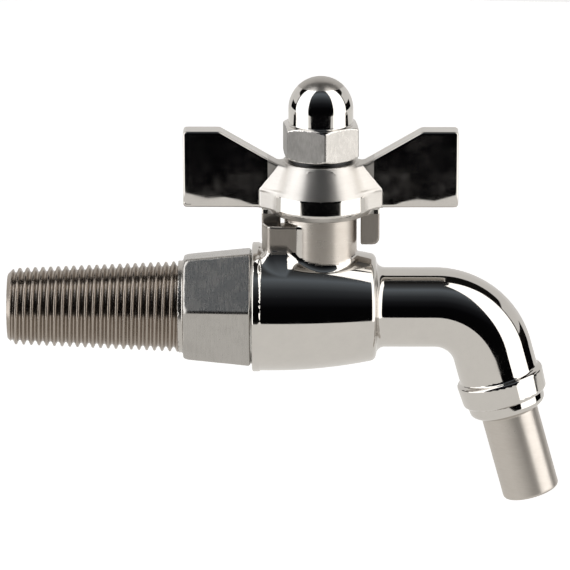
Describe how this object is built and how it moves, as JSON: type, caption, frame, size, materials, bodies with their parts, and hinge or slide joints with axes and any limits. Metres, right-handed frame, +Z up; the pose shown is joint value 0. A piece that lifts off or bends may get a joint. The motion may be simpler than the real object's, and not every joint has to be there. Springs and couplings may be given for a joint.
{
  "type": "barrel ball valve",
  "caption": "Quarter-turn cask tap: taper-threaded tail with hexagon, ball housing with butterfly handle and dome nut, bent spout with a straight hose nozzle.",
  "frame": {"origin": "on the flow axis, where the taper thread ends at the hexagon", "axes": "+X along the flow towards the spout, +Z up along the stem"},
  "size_m": [0.1303, 0.0306, 0.1028],
  "materials": {
    "polished_steel": "mirror polished",
    "turned_steel": "turned",
    "brushed_steel": "satin brushed",
    "ptfe": "matte",
    "rubber": "matte"
  },
  "bodies": {
    "valve": {"barrel_tail": "turned_steel", "tail_gasket": "ptfe", "valve_body": "polished_steel", "inlet_seat": "ptfe", "outlet_seat": "ptfe", "thrust_washer": "ptfe", "lower_packing_ring": "ptfe", "middle_packing_ring": "ptfe", "upper_packing_ring": "ptfe", "gland_ring": "turned_steel", "lower_disc_spring": "turned_steel", "upper_disc_spring": "turned_steel", "gland_nut": "turned_steel", "nozzle": "brushed_steel", "nozzle_seal": "rubber"},
    "turning": {"ball": "polished_steel", "stem": "turned_steel", "handle": "polished_steel", "lock_washer": "turned_steel", "dome_nut": "polished_steel"}
  },
  "joints": [
    {"name": "handle_turn", "type": "hinge", "parent": "valve", "child": "turning", "pos_m": [0.0323, 0, 0.03], "axis": [0, 0, 1], "range_deg": [-90, 0]}
  ]
}
